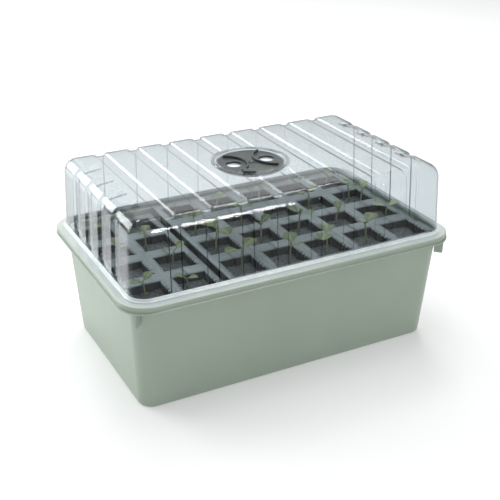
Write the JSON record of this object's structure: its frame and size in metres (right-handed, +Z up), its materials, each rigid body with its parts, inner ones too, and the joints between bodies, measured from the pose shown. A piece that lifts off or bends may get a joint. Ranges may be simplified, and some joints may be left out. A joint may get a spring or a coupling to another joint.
{
  "type": "humidity dome tray",
  "caption": "Deep rectangular seedling tub with folded root-training cell books and a clear ribbed dome whose roof has a turning air vent.",
  "frame": {"origin": "middle of the tub's underside, on the surface it stands on", "axes": "+X along the tray's length, to the right seen from the front; +Y from the front to the back; +Z up"},
  "size_m": [0.3816, 0.2436, 0.2052],
  "materials": {
    "sage_plastic": "fine matt, moulded",
    "clear_plastic": "clear, vacuum formed",
    "vent_plastic": "satin, moulded",
    "book_plastic": "satin, thermoformed",
    "compost": "loose, crumbly, damp",
    "leaf": "soft, waxy"
  },
  "bodies": {
    "tub_body": {"tub": "sage_plastic"},
    "dome_body": {"dome": "clear_plastic", "vent_base": "clear_plastic", "vent_pin": "vent_plastic"},
    "vent_body": {"vent_disc": "vent_plastic"},
    "book_1_body": {"book_1": "book_plastic", "compost_1": "compost", "seedlings_1": "leaf"},
    "book_2_body": {"book_2": "book_plastic", "compost_2": "compost", "seedlings_2": "leaf"},
    "book_3_body": {"book_3": "book_plastic", "compost_3": "compost", "seedlings_3": "leaf"},
    "book_4_body": {"book_4": "book_plastic", "compost_4": "compost", "seedlings_4": "leaf"},
    "book_5_body": {"book_5": "book_plastic", "compost_5": "compost", "seedlings_5": "leaf"},
    "book_6_body": {"book_6": "book_plastic", "compost_6": "compost", "seedlings_6": "leaf"},
    "book_7_body": {"book_7": "book_plastic", "compost_7": "compost", "seedlings_7": "leaf"}
  },
  "joints": [
    {"name": "dome_lift", "type": "slide", "parent": "tub_body", "child": "dome_body", "axis": [0, 0, 1], "range_m": [0, 0.13]},
    {"name": "vent_turn", "type": "hinge", "parent": "dome_body", "child": "vent_body", "pos_m": [0, 0, 0.2], "axis": [0, 0, 1], "range_deg": [0, 90]},
    {"name": "book_1_lift", "type": "slide", "parent": "tub_body", "child": "book_1_body", "axis": [0, 0, 1], "range_m": [0, 0.02]},
    {"name": "book_2_lift", "type": "slide", "parent": "tub_body", "child": "book_2_body", "axis": [0, 0, 1], "range_m": [0, 0.02]},
    {"name": "book_3_lift", "type": "slide", "parent": "tub_body", "child": "book_3_body", "axis": [0, 0, 1], "range_m": [0, 0.02]},
    {"name": "book_4_lift", "type": "slide", "parent": "tub_body", "child": "book_4_body", "axis": [0, 0, 1], "range_m": [0, 0.02]},
    {"name": "book_5_lift", "type": "slide", "parent": "tub_body", "child": "book_5_body", "axis": [0, 0, 1], "range_m": [0, 0.02]},
    {"name": "book_6_lift", "type": "slide", "parent": "tub_body", "child": "book_6_body", "axis": [0, 0, 1], "range_m": [0, 0.02]},
    {"name": "book_7_lift", "type": "slide", "parent": "tub_body", "child": "book_7_body", "axis": [0, 0, 1], "range_m": [0, 0.02]}
  ]
}
